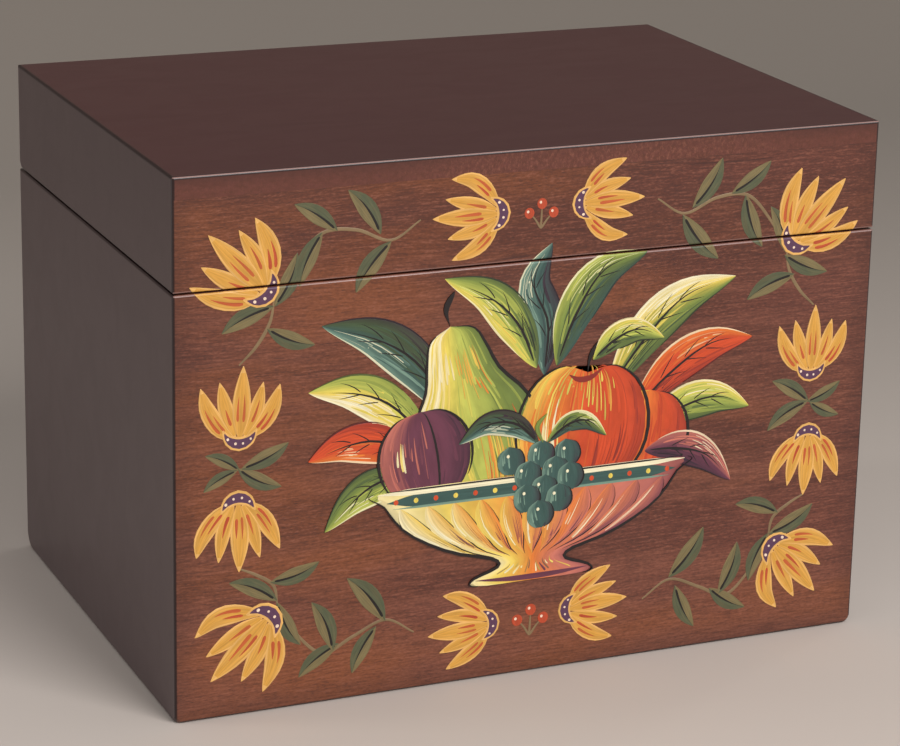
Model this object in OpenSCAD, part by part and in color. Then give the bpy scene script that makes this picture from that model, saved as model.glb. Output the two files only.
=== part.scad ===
// Recipe card box with a lift-up lid.
// The walls are mitred and keyed with hidden splines, a plywood bottom sits in a groove, a flat board
// tops the lid, and two brass butt hinges join the lid to the body.
// Frame: origin on the ground under the middle of the box, +X to the right, +Y to the back, +Z up.

/* [Box] */
// Outside width, left to right
box_w = 172; // [150:1:220]
// Outside depth, front to back
box_d = 120; // [90:1:180]
// Height of the body, from its foot to its rim
body_h = 99; // [80:1:150]
// Height of the lid, from its lower edge to its top
lid_h = 25.6; // [20:0.2:50]
// Thickness of the walls and of the lid rails
wall = 7.5; // [7:0.5:10]
// Gap between the body's rim and the closed lid
seam_gap = 0.4; // [0.1:0.05:0.6]

/* [Panels] */
// Thickness of the plywood bottom
bottom_t = 4; // [3:0.5:6]
// Height of the bottom's underside above the foot of the walls
bottom_rise = 4; // [3:0.5:10]
// Depth of the groove that holds the bottom
groove_depth = 3; // [2:0.5:4]
// Room left for the bottom in its groove, at each edge and above it
groove_play = 0.2; // [0.1:0.05:0.4]
// Thickness of the board that tops the lid
top_t = 5; // [3:0.5:8]

/* [Edges] */
// Rounding of the upright outside edges
upright_ease = 0.7; // [0.4:0.1:1.2]
// Rounding round the top of the lid
top_ease = 0.5; // [0.3:0.1:1.2]
// Rounding of both edges at the seam
seam_ease = 0.5; // [0.3:0.1:0.8]
// Rounding round the foot of the body
foot_ease = 1; // [0.5:0.1:1.5]
// How far along each edge the rounding of a front foot corner reaches
front_foot_corner = 2.4; // [2.2:0.1:4]
// How far along each edge the rounding of a back foot corner reaches
back_foot_corner = 5.5; // [4:0.5:7]

/* [Corner splines] */
// Thickness of a spline
spline_t = 2; // [1:0.5:3]
// Width of a spline across the joint
spline_w = 6; // [4:0.5:7]
// Distance along the mitre from the inside corner to the middle of a spline
spline_inset = 3.8; // [3.4:0.1:5]
// Wood left over each end of a spline
spline_stop = 4; // [3:0.5:6]
// Room for glue round a spline
spline_play = 0.05; // [0.02:0.01:0.1]

/* [Hinges] */
// Length of a hinge
hinge_len = 25; // [22:1:40]
// Distance from the side of the box to the near end of a hinge
hinge_inset = 20; // [12:1:30]
// Distance of the pin inside the back of the box
pin_inset = 1; // [0.9:0.05:1.2]
// Angle at which the chamfer along the lid's lower back edge meets the body and stops the lid
stop_angle = 103; // [102:1:110]
// Radius of the pin
pin_r = 0.7; // [0.5:0.1:0.9]
// Chamfer on each end of the pin
pin_chamfer = 0.2; // [0.1:0.05:0.3]
// Outside radius of the knuckles
knuckle_r = 1.6; // [1.4:0.1:1.8]
// Thickness of a leaf
leaf_t = 0.9; // [0.7:0.1:1.2]
// Distance from the pin to the inner edge of a leaf
leaf_reach = 5.4; // [5:0.1:5.8]
// Gap between neighbouring knuckles
knuckle_gap = 0.15; // [0.1:0.05:0.3]
// Room round the pin in the knuckles that turn on it
pin_play = 0.05; // [0.03:0.01:0.08]
// Room round the pin in the knuckles that grip it
pin_grip = 0.02; // [0.01:0.01:0.03]
// Room round the knuckles in the wood and beside the other leaf
knuckle_room = 0.2; // [0.15:0.05:0.4]
// Room at the ends and inner edge of a leaf in its mortise
leaf_room = 0.1; // [0.05:0.05:0.2]

/* [Screws] */
// Radius of a screw's shank
screw_r = 0.7; // [0.5:0.1:0.9]
// Radius of a screw's head
head_r = 1.3; // [1.1:0.1:1.5]
// Length of a screw
screw_len = 7; // [5:0.5:10]
// Distance from the end of a leaf to its nearest screw
screw_end = 4.2; // [3:0.2:6]
// Distance from the inner edge of a leaf to its screws
screw_edge = 1.75; // [1.6:0.05:2]
// Room round a screw in its leaf and in the wood
screw_room = 0.05; // [0.02:0.01:0.1]
// Depth of a screw's head below the face of its leaf
head_sink = 0.05; // [0.02:0.01:0.1]
// Width of the slot in a screw's head
slot_w = 0.4; // [0.3:0.05:0.6]
// Depth of the slot in a screw's head
slot_depth = 0.3; // [0.2:0.05:0.4]
// Length of a screw's point
point_len = 2; // [1.5:0.1:3]
// Radius of the blunt end of a screw's point
tip_r = 0.15; // [0.1:0.05:0.3]

/* [Hidden] */

$fn = 48;

// Colours of the stained wood, the bare plywood and the brass
stain_front = "#6e4434";
stain_side = "#4f4340";
stain_top = "#553c38";
ply_brown = "#8a6647";
brass = "#b08d4a";

// How far a cutting shape runs past the solid that it cuts
past = 1;
// How far the ball that rounds a foot corner passes the corner's sharpest edge
ball_lead = 0.02;

inside_w = box_w - 2 * wall;
inside_d = box_d - 2 * wall;
lid_z = body_h + seam_gap;
top_z = lid_z + lid_h;
board_z = top_z - top_t;

body_spline_low = bottom_rise + bottom_t + spline_stop;
body_spline_high = body_h - spline_stop;
lid_spline_low = lid_z + spline_stop;
lid_spline_high = board_z - spline_stop;

pin_y = box_d / 2 - pin_inset;
pin_z = body_h + seam_gap / 2;
hinge_x = box_w / 2 - hinge_inset - hinge_len / 2;
leaf_y = pin_y - leaf_reach;
screw_y = leaf_y + screw_edge;
screw_x = hinge_len / 2 - screw_end;
knuckle_len = (hinge_len - 2 * knuckle_gap) / 3;
// The chamfer's face then turns about the pin until it lies on the body's back edge
back_chamfer = pin_inset * (1 + sqrt(2) * sin(stop_angle - 45));
head_h = head_r - screw_r;

// Radius of the ball that rounds a foot corner: it passes the sharpest of the corner's edges by ball_lead
// where the rounding starts, so that the ball and the edge cross instead of only touching
function corner_ball_r(reach) =
    sqrt(2) * (reach - min(foot_ease, upright_ease) * (1 - sqrt(1 / 2))) + ball_lead;

// Flat outlines

// A rectangle standing on the X axis, centred left to right, with its low and high corners rounded
module eased_outline(w, h, low_r, high_r) {
    translate([-w / 2, low_r]) square([w, h - low_r - high_r]);
    translate([-w / 2 + low_r, 0]) square([w - 2 * low_r, h / 2]);
    translate([-w / 2 + high_r, h / 2]) square([w - 2 * high_r, h / 2]);
    for (side = [-1, 1]) {
        translate([side * (w / 2 - low_r), low_r]) circle(low_r);
        translate([side * (w / 2 - high_r), h - high_r]) circle(high_r);
    }
}

// The outline of the box seen from above
module plan_outline() {
    translate([0, -box_d / 2]) eased_outline(box_w, box_d, upright_ease, upright_ease);
}

// Solid envelopes

// Stands an outline up so that it faces the front, and runs it through the depth of the box
module through_depth() {
    translate([0, box_d / 2, 0]) rotate([90, 0, 0]) linear_extrude(box_d) children();
}

// Stands an outline up so that it faces the right, and runs it through the width of the box
module through_width() {
    translate([-box_w / 2, 0, 0]) rotate([90, 0, 90]) linear_extrude(box_w) children();
}

// The front left foot corner before it is rounded, less the ball that rounds it
module foot_corner_waste(reach) {
    translate([-box_w / 2, -box_d / 2, 0]) difference() {
        translate([-past, -past, -past]) cube(reach + past);
        translate([reach, reach, reach]) sphere(corner_ball_r(reach));
    }
}

// Repeats a front left shape at all four corners
module at_corners() {
    for (sx = [0, 1]) for (sy = [0, 1]) mirror([sx, 0, 0]) mirror([0, sy, 0]) children();
}

// The body as one solid block with its outside edges eased
module body_envelope() {
    difference() {
        intersection() {
            linear_extrude(body_h) plan_outline();
            through_depth() eased_outline(box_w, body_h, foot_ease, seam_ease);
            through_width() eased_outline(box_d, body_h, foot_ease, seam_ease);
        }
        for (sx = [0, 1]) mirror([sx, 0, 0]) {
            foot_corner_waste(front_foot_corner);
            mirror([0, 1, 0]) foot_corner_waste(back_foot_corner);
        }
    }
}

// The lid's side outline, with the chamfer that lets it swing past upright
module lid_side_outline() {
    difference() {
        eased_outline(box_d, lid_h, seam_ease, top_ease);
        translate([box_d / 2, 0])
            polygon([[-back_chamfer, 0], [-back_chamfer, -past], [past, -past],
                     [past, back_chamfer + past], [0, back_chamfer]]);
    }
}

// The lid as one solid block with its outside edges eased
module lid_envelope() {
    translate([0, 0, lid_z]) intersection() {
        linear_extrude(lid_h) plan_outline();
        through_depth() eased_outline(box_w, lid_h, seam_ease, top_ease);
        through_width() lid_side_outline();
    }
}

// Mitres and splines

// The share of a frame that one wall takes: a bar of the given outside length with mitred ends,
// along the front of a frame of the given depth
module mitre_bar(length, depth) {
    half = length / 2;
    linear_extrude(top_z + past)
        polygon([[-half - past, -depth / 2 - past], [half + past, -depth / 2 - past],
                 [half - wall, -depth / 2 + wall], [-half + wall, -depth / 2 + wall]]);
}

module front_share() { mitre_bar(box_w, box_d); }

module back_share() { mirror([0, 1, 0]) front_share(); }

module left_share() { rotate([0, 0, -90]) mitre_bar(box_d, box_w); }

// A spline across the front left mitre, from one height to another, grown by some room
module spline_block(z_low, z_high, room) {
    translate([-inside_w / 2, -inside_d / 2, z_low - room]) rotate([0, 0, 45])
        translate([-spline_inset - spline_t / 2 - room, -spline_w / 2 - room, 0])
            cube([spline_t + 2 * room, spline_w + 2 * room, z_high - z_low + 2 * room]);
}

module body_spline(room = 0) { spline_block(body_spline_low, body_spline_high, room); }

module lid_spline(room = 0) { spline_block(lid_spline_low, lid_spline_high, room); }

module spline_slots() {
    at_corners() {
        body_spline(spline_play);
        lid_spline(spline_play);
    }
}

// Hinges, drawn for a hinge centred on X = 0 and put in place by at_left_hinge and at_right_hinge

module at_left_hinge() { translate([-hinge_x, 0, 0]) children(); }

module at_right_hinge() { translate([hinge_x, 0, 0]) children(); }

// A bar of round section along the pin's axis, centred on X = 0
module along_pin(r, length) {
    translate([-length / 2, pin_y, pin_z]) rotate([0, 90, 0]) cylinder(r = r, h = length);
}

// One outer knuckle and its mirror image, or the middle one
module outer_knuckles(r, extra = 0) {
    for (side = [-1, 1])
        translate([side * (knuckle_len + knuckle_gap), 0, 0]) along_pin(r, knuckle_len + extra);
}

module middle_knuckle(r, extra = 0) { along_pin(r, knuckle_len + extra); }

// A leaf's plate from the pin's axis to its inner edge, lower face at the given height
module leaf_plate(z) {
    translate([-hinge_len / 2, leaf_y, z]) cube([hinge_len, leaf_reach, leaf_t]);
}

// A screw at the origin, head up and flush with Z = 0, pointing down, grown by some room
module screw_shape(room = 0) {
    translate([0, 0, -head_h]) cylinder(r1 = screw_r + room, r2 = head_r + room, h = head_h);
    translate([0, 0, point_len - screw_len])
        cylinder(r = screw_r + room, h = screw_len - point_len);
    translate([0, 0, -screw_len - room])
        cylinder(r1 = tip_r + room, r2 = screw_r + room, h = point_len + room);
}

module slotted_screw() {
    difference() {
        screw_shape();
        translate([-head_r - past, -slot_w / 2, -slot_depth])
            cube([2 * (head_r + past), slot_w, slot_depth + past]);
    }
}

// Puts children at both screws of the body's leaf, with Z = 0 at the screws' heads
module at_body_screws() {
    for (side = [-1, 1]) translate([side * screw_x, screw_y, body_h - head_sink]) children();
}

// The same for the lid's leaf, whose screws point up
module at_lid_screws() {
    for (side = [-1, 1])
        translate([side * screw_x, screw_y, lid_z + head_sink]) mirror([0, 0, 1]) children();
}

// The countersunk hole that a screw leaves in a leaf, open above its head
module screw_hole() {
    screw_shape(screw_room);
    cylinder(r = head_r + screw_room, h = head_sink + past);
}

module body_leaf() {
    difference() {
        union() {
            difference() {
                leaf_plate(body_h - leaf_t);
                middle_knuckle(knuckle_r + knuckle_room, 2 * knuckle_gap);
            }
            outer_knuckles(knuckle_r);
        }
        along_pin(pin_r + pin_grip, hinge_len + past);
        at_body_screws() screw_hole();
    }
}

module lid_leaf() {
    difference() {
        union() {
            difference() {
                leaf_plate(lid_z);
                outer_knuckles(knuckle_r + knuckle_room, 2 * knuckle_gap);
            }
            middle_knuckle(knuckle_r);
        }
        along_pin(pin_r + pin_play, hinge_len + past);
        at_lid_screws() screw_hole();
    }
}

// Wood cut away for one hinge: the mortise for a leaf, the hollow for the knuckles, the screw holes
module hinge_hollow() {
    mortise_w = hinge_len + 2 * leaf_room;
    mortise_d = leaf_reach + leaf_room + pin_inset + past;
    translate([-mortise_w / 2, leaf_y - leaf_room, body_h - leaf_t])
        cube([mortise_w, mortise_d, 2 * leaf_t + seam_gap]);
    along_pin(knuckle_r + knuckle_room, mortise_w);
    at_body_screws() screw_shape(screw_room);
    at_lid_screws() screw_shape(screw_room);
}

module hinge_hollows() {
    at_left_hinge() hinge_hollow();
    at_right_hinge() hinge_hollow();
}

// Body

module bottom_groove() {
    translate([-inside_w / 2 - groove_depth, -inside_d / 2 - groove_depth, bottom_rise])
        cube([inside_w + 2 * groove_depth, inside_d + 2 * groove_depth, bottom_t + groove_play]);
}

module front_wall() {
    color(stain_front) difference() {
        intersection() {
            body_envelope();
            front_share();
        }
        bottom_groove();
        spline_slots();
    }
}

module back_wall() {
    color(stain_side) difference() {
        intersection() {
            body_envelope();
            back_share();
        }
        bottom_groove();
        spline_slots();
        hinge_hollows();
    }
}

module left_wall() {
    color(stain_side) difference() {
        intersection() {
            body_envelope();
            left_share();
        }
        bottom_groove();
        spline_slots();
    }
}

module right_wall() { mirror([1, 0, 0]) left_wall(); }

module bottom_panel() {
    edge = groove_depth - groove_play;
    color(ply_brown) translate([-inside_w / 2 - edge, -inside_d / 2 - edge, bottom_rise])
        cube([inside_w + 2 * edge, inside_d + 2 * edge, bottom_t]);
}

module body_spline_front_left() { color(ply_brown) body_spline(); }

module body_spline_front_right() { mirror([1, 0, 0]) body_spline_front_left(); }

module body_spline_back_left() { mirror([0, 1, 0]) body_spline_front_left(); }

module body_spline_back_right() { mirror([1, 0, 0]) body_spline_back_left(); }

// Lid

// The rails' share of the lid's height
module rail_height() {
    translate([-box_w / 2 - past, -box_d / 2 - past, lid_z - past])
        cube([box_w + 2 * past, box_d + 2 * past, board_z - lid_z + past]);
}

module lid_front_rail() {
    color(stain_front) difference() {
        intersection() {
            lid_envelope();
            rail_height();
            front_share();
        }
        spline_slots();
    }
}

module lid_back_rail() {
    color(stain_side) difference() {
        intersection() {
            lid_envelope();
            rail_height();
            back_share();
        }
        spline_slots();
        hinge_hollows();
    }
}

module lid_left_rail() {
    color(stain_side) difference() {
        intersection() {
            lid_envelope();
            rail_height();
            left_share();
        }
        spline_slots();
    }
}

module lid_right_rail() { mirror([1, 0, 0]) lid_left_rail(); }

module lid_top_board() {
    color(stain_top) difference() {
        lid_envelope();
        rail_height();
    }
}

module lid_spline_front_left() { color(ply_brown) lid_spline(); }

module lid_spline_front_right() { mirror([1, 0, 0]) lid_spline_front_left(); }

module lid_spline_back_left() { mirror([0, 1, 0]) lid_spline_front_left(); }

module lid_spline_back_right() { mirror([1, 0, 0]) lid_spline_back_left(); }

// Hinge pieces

module hinge_body_leaf() { color(brass) body_leaf(); }

module hinge_lid_leaf() { color(brass) lid_leaf(); }

module hinge_pin() {
    color(brass) {
        along_pin(pin_r, hinge_len - 2 * pin_chamfer);
        for (side = [0, 1]) mirror([side, 0, 0])
            translate([hinge_len / 2 - pin_chamfer, pin_y, pin_z]) rotate([0, 90, 0])
                cylinder(r1 = pin_r, r2 = pin_r - pin_chamfer, h = pin_chamfer);
    }
}

module hinge_body_screws() { color(brass) at_body_screws() slotted_screw(); }

module hinge_lid_screws() { color(brass) at_lid_screws() slotted_screw(); }

front_wall();
back_wall();
left_wall();
right_wall();
bottom_panel();
body_spline_front_left();
body_spline_front_right();
body_spline_back_left();
body_spline_back_right();
lid_front_rail();
lid_back_rail();
lid_left_rail();
lid_right_rail();
lid_top_board();
lid_spline_front_left();
lid_spline_front_right();
lid_spline_back_left();
lid_spline_back_right();
at_left_hinge() hinge_body_leaf();  // left_hinge_body_leaf
at_left_hinge() hinge_lid_leaf();  // left_hinge_lid_leaf
at_left_hinge() hinge_pin();  // left_hinge_pin
at_left_hinge() hinge_body_screws();  // left_hinge_body_screws
at_left_hinge() hinge_lid_screws();  // left_hinge_lid_screws
at_right_hinge() hinge_body_leaf();  // right_hinge_body_leaf
at_right_hinge() hinge_lid_leaf();  // right_hinge_lid_leaf
at_right_hinge() hinge_pin();  // right_hinge_pin
at_right_hinge() hinge_body_screws();  // right_hinge_body_screws
at_right_hinge() hinge_lid_screws();  // right_hinge_lid_screws
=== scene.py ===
import math
import random

import bmesh
import bpy
from bpy.props import FloatProperty, FloatVectorProperty, IntProperty, PointerProperty
from mathutils import Matrix, Vector


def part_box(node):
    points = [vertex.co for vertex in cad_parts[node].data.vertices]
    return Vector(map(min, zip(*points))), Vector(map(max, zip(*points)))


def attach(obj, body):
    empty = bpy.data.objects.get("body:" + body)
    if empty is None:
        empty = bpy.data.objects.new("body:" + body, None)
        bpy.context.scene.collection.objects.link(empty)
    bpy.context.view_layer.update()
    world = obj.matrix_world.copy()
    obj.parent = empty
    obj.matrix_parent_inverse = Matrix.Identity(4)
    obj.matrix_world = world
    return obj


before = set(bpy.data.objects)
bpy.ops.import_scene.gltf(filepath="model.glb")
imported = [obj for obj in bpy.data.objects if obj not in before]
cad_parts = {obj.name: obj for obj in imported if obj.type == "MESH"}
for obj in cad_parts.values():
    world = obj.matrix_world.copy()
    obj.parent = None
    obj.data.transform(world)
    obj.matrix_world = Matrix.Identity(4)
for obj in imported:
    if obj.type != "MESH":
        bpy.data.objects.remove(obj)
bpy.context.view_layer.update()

bl_info = {
    "name": "Recipe Card Box Finish",
    "version": (1, 0, 0),
    "blender": (4, 5, 0),
    "location": "View3D > Sidebar > Card Box",
    "description": "Stains, varnishes and paints the recipe card box and sets it on a plain stage",
    "category": "Object",
}

# Places taken from the frame, in metres

MM = 0.001
FRONT_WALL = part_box("front_wall")
TOP_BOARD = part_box("lid_top_board")
LID_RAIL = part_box("lid_front_rail")
FRONT_Y = TOP_BOARD[0].y
HALF_WIDTH = TOP_BOARD[1].x
HALF_DEPTH = TOP_BOARD[1].y
TOP_Z = TOP_BOARD[1].z
BOARD_Z = TOP_BOARD[0].z
BODY_RIM = FRONT_WALL[1].z
LID_EDGE = LID_RAIL[0].z
WALL = FRONT_WALL[1].y - FRONT_WALL[0].y

# Rounding of the rims on both sides of the seam, as the frame has it
RIM_EASE = 0.5 * MM

# Names of what the painted meshes carry
TINT = "tint"
UV = "UVMap"

# Share of a stroke's half width at which its flat top ends and its edge begins
STROKE_RIM = 0.94

# Sizes at which the border's motifs are drawn, in millimetres
LILY_DRAWN = 22
LEAF_DRAWN = 15


def srgb(red, green, blue):
    """A colour given as it looks on a screen, 0 to 255, as the shader wants it."""
    def linear(value):
        value /= 255
        return value / 12.92 if value <= 0.04045 else ((value + 0.055) / 1.055) ** 2.4
    return linear(red), linear(green), linear(blue)


def colour_property(name, description, default):
    """A colour that a user may change."""
    return FloatVectorProperty(
        name=name, description=description, subtype="COLOR", size=3, min=0, max=1, default=default)


def length_property(name, description, default):
    """A length that a user may change."""
    return FloatProperty(
        name=name, description=description, subtype="DISTANCE", unit="LENGTH", precision=5,
        default=default)


class CardBoxWood(bpy.types.PropertyGroup):
    """Colours of the stained, varnished and bare wood"""
    front_light: colour_property("Front, light", "Light figure of the front's stain", srgb(122, 71, 54))
    front_dark: colour_property("Front, dark", "Dark figure of the front's stain", srgb(92, 48, 35))
    front_amber: colour_property("Front, amber", "Warm patches in the front's stain", srgb(138, 76, 38))
    front_violet: colour_property("Front, violet", "Cool patches in the front's stain", srgb(105, 56, 46))
    front_bare: colour_property("Front, bare", "Fibres that took less stain", srgb(152, 94, 74))
    pore: colour_property("Pores", "Stain gathered in the open pores", srgb(58, 30, 26))
    # The edges colour is also used for painted shade in the seam between lid and body.
    edge: colour_property("Edges", "Stain gathered along the edges", srgb(26, 6, 8))
    # Painted highlight: the rims colour is laid on the rounded rims at the seam and on the top's front
    # edge.
    rim: colour_property("Rims", "Worn rims that catch the light", srgb(172, 134, 126))
    # The sides, back and top are one dark stain in lit and shaded copies, which is painted light: the
    # sides greyer as painted sheen, the back lighter where little light reaches it.
    side: colour_property("Sides", "Dark stain on the sides", srgb(57, 41, 42))
    back: colour_property("Back", "Dark stain on the back", srgb(74, 53, 50))
    top: colour_property("Top", "Dark stain on the top", srgb(68, 26, 29))
    inside_light: colour_property("Inside, light", "Light figure inside the box", srgb(168, 122, 82))
    inside_dark: colour_property("Inside, dark", "Dark figure inside the box", srgb(128, 84, 54))
    ply_light: colour_property("Plywood, light", "Light figure of the bottom", srgb(178, 136, 96))
    ply_dark: colour_property("Plywood, dark", "Dark figure of the bottom", srgb(140, 98, 64))


class CardBoxBrass(bpy.types.PropertyGroup):
    """Colours of the hinges"""
    bright: colour_property("Bright", "Clean brass", srgb(206, 176, 118))
    aged: colour_property("Aged", "Dulled brass", srgb(158, 128, 82))


class CardBoxPaint(bpy.types.PropertyGroup):
    """Colours and sizes of the painted front"""
    gold: colour_property("Gold", "Petals", srgb(214, 155, 62))
    gold_edge: colour_property("Gold edge", "Rims of the petals", srgb(232, 178, 100))
    red: colour_property("Red", "Touches in the petals", srgb(186, 72, 40))
    plum: colour_property("Plum", "Cups of the flowers", srgb(90, 56, 82))
    pale: colour_property("Pale", "Dots and highlights", srgb(244, 216, 190))
    olive: colour_property("Olive", "Light half of a leaf", srgb(126, 110, 72))
    green: colour_property("Green", "Dark half of a leaf", srgb(80, 86, 62))
    vine: colour_property("Vine", "Stalks of the border", srgb(134, 110, 78))
    ink: colour_property("Ink", "Ribs of the border's leaves", srgb(26, 21, 18))
    coat: length_property("Coat", "Thickness of one coat of paint", 0.03 * MM)
    vine_width: length_property("Vine width", "Width of a stalk", 0.9 * MM)
    leaf_length: length_property("Leaf length", "Length of a border leaf", LEAF_DRAWN * MM)
    lily_height: length_property("Lily height", "Height of a border lily", LILY_DRAWN * MM)
    seed: IntProperty(name="Seed", description="Fixes the hand's small wobbles", default=7, min=0)


class CardBoxFruit(bpy.types.PropertyGroup):
    """Colours of the bowl of fruit"""
    cream: colour_property("Cream", "Highlights and pale edges", srgb(244, 234, 196))
    lemon: colour_property("Lemon", "Light yellow", srgb(232, 204, 88))
    lime: colour_property("Lime", "Yellow green", srgb(190, 194, 88))
    grass: colour_property("Grass", "Middle green", srgb(122, 138, 62))
    forest: colour_property("Forest", "Dark green", srgb(66, 84, 52))
    sea: colour_property("Sea", "Light blue green", srgb(120, 150, 132))
    teal: colour_property("Teal", "Dark blue green", srgb(56, 86, 80))
    orange: colour_property("Orange", "Orange", srgb(226, 124, 46))
    flame: colour_property("Flame", "Orange red", srgb(208, 74, 34))
    maroon: colour_property("Maroon", "Dark red", srgb(136, 42, 34))
    rose: colour_property("Rose", "Dusty pink", srgb(206, 118, 98))
    plum: colour_property("Plum", "Purple red", srgb(104, 52, 70))
    night: colour_property("Night", "Darkest purple", srgb(54, 32, 48))
    ink: colour_property("Ink", "Outlines and marks", srgb(28, 20, 20))


class CardBoxStage(bpy.types.PropertyGroup):
    """Camera, lamps, floor and backdrop"""
    azimuth: FloatProperty(
        name="Azimuth", description="Camera's turn from straight ahead, to the right",
        subtype="ANGLE", default=math.radians(-24.07))
    elevation: FloatProperty(
        name="Elevation", description="Camera's height above level", subtype="ANGLE",
        default=math.radians(16.81))
    roll: FloatProperty(
        name="Roll", description="Camera's tilt about its own axis", subtype="ANGLE",
        default=math.radians(1.36))
    aim_x: length_property("Aim X", "Point that the camera looks at, left to right", 13.4 * MM)
    aim_z: length_property("Aim Z", "Point that the camera looks at, height", 64 * MM)
    distance: length_property("Distance", "From the aim point to the camera", 761 * MM)
    lens: FloatProperty(
        name="Lens", description="Focal length in millimetres", subtype="DISTANCE_CAMERA",
        default=124.1, min=10)
    shift_x: FloatProperty(name="Shift X", description="Framing shift", default=-0.0371)
    shift_y: FloatProperty(name="Shift Y", description="Framing shift", default=-0.0458)
    # The floor colours run from near to far as a painted fall-off of the light.
    floor_near: colour_property("Floor, near", "Floor in front of the box", srgb(200, 188, 179))
    floor_far: colour_property("Floor, far", "Floor and wall behind the box", srgb(116, 107, 98))
    key_power: FloatProperty(
        name="Key lamp", description="Power of the main softbox in watts", subtype="POWER",
        default=48, min=0)
    side_power: FloatProperty(
        name="Side lamp", description="Power of the softbox on the left in watts", subtype="POWER",
        default=27, min=0)
    back_power: FloatProperty(
        name="Back lamp", description="Power of the softbox behind on the right in watts",
        subtype="POWER", default=6, min=0)
    fill: FloatProperty(
        name="Fill", description="Strength of the light from all round", default=0.51, min=0)


GROUPS = {"card_box_wood": CardBoxWood, "card_box_brass": CardBoxBrass,
          "card_box_paint": CardBoxPaint, "card_box_fruit": CardBoxFruit,
          "card_box_stage": CardBoxStage}


# Shader steps. Lengths are in millimetres, and weights and shares run from 0 to 1.

class Wiring:
    """Adds nodes to a shader or geometry tree and links them, one step after another."""

    def __init__(self, tree):
        self.tree = tree

    def put(self, socket, value):
        """Feeds a socket from another node's output, or sets its value."""
        if isinstance(value, bpy.types.NodeSocket):
            self.tree.links.new(value, socket)
        else:
            socket.default_value = value

    def node(self, kind, inputs=None, **settings):
        """A node with its settings, and each input given a value or fed by an output."""
        made = self.tree.nodes.new(kind)
        for key, value in settings.items():
            setattr(made, key, value)
        for key, value in (inputs or {}).items():
            self.put(made.inputs[key], value)
        return made

    def math(self, operation, a, b=0.0, clamp=False):
        return self.node(
            "ShaderNodeMath", {0: a, 1: b}, operation=operation, use_clamp=clamp).outputs[0]

    def plus(self, a, b):
        return self.math("ADD", a, b)

    def minus(self, a, b):
        return self.math("SUBTRACT", a, b)

    def times(self, a, b):
        return self.math("MULTIPLY", a, b)

    def size(self, value):
        """The value without its sign."""
        return self.math("ABSOLUTE", value)

    def larger(self, a, b):
        return self.math("MAXIMUM", a, b)

    def smaller(self, a, b):
        return self.math("MINIMUM", a, b)

    def vector(self, operation, a, b):
        return self.node("ShaderNodeVectorMath", {0: a, 1: b}, operation=operation).outputs[0]

    def scaled(self, vector, factors):
        return self.vector("MULTIPLY", vector, factors)

    def noise(self, vector, detail=2.0, roughness=0.5, distortion=0.0):
        """Cloudy noise, about 0.5 in the middle, one cell per unit of the vector."""
        return self.node(
            "ShaderNodeTexNoise",
            {"Vector": vector, "Scale": 1.0, "Detail": detail, "Roughness": roughness,
             "Distortion": distortion}).outputs["Fac"]

    def cells(self, parts, lengths, detail=2.0, roughness=0.5):
        """Cloudy noise with cells of the given lengths along the three parts of a place."""
        shares = [self.math("DIVIDE", part, length) for part, length in zip(parts, lengths)]
        return self.noise(self.join(*shares), detail, roughness)

    def band(self, value, low, high, to_low=0.0, to_high=1.0):
        """The value's place between low and high, eased, held at the ends and moved to to_low and
        to_high."""
        return self.node(
            "ShaderNodeMapRange",
            {"Value": value, "From Min": low, "From Max": high, "To Min": to_low, "To Max": to_high},
            interpolation_type="SMOOTHSTEP").outputs["Result"]

    def mix(self, factor, a, b, blend="MIX"):
        """Two colours mixed by a factor."""
        made = self.node("ShaderNodeMix", {0: factor}, data_type="RGBA", blend_type=blend)
        for key, value in ((6, a), (7, b)):
            self.put(made.inputs[key], value if isinstance(value, bpy.types.NodeSocket) else (*value, 1))
        return made.outputs[2]

    def shaded(self, colour, shade):
        """A colour made lighter or darker by a factor."""
        return self.mix(1.0, colour, self.join(shade, shade, shade), "MULTIPLY")

    def split(self, vector):
        """The three parts of a vector."""
        return self.node("ShaderNodeSeparateXYZ", {0: vector}).outputs

    def join(self, x, y, z):
        return self.node("ShaderNodeCombineXYZ", {0: x, 1: y, 2: z}).outputs[0]

    def effect(self, tree, place):
        """The values that a shared effect gives at a place."""
        return self.node("ShaderNodeGroup", {"Vector": place}, node_tree=tree).outputs


def shared_tree(name, kind, inputs, outputs, build):
    """A node group, built once. inputs and outputs name their sockets' kinds. build makes the steps
    from the inputs and returns what feeds each output."""
    tree = bpy.data.node_groups.get(name)
    if tree:
        return tree
    tree = bpy.data.node_groups.new(name, kind)
    for way, sockets in (("INPUT", inputs), ("OUTPUT", outputs)):
        for label, socket in sockets.items():
            tree.interface.new_socket(label, in_out=way, socket_type=f"NodeSocket{socket}")
    w = Wiring(tree)
    w.node("NodeGroupOutput", build(w, tree.nodes.new("NodeGroupInput").outputs))
    return tree


def shared_effect(name, outputs, build):
    """A shader node group that takes a place in millimetres and gives plain numbers there."""
    return shared_tree(name, "ShaderNodeTree", {"Vector": "Vector"}, dict.fromkeys(outputs, "Float"),
                       lambda w, entry: build(w, entry["Vector"]))


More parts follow.
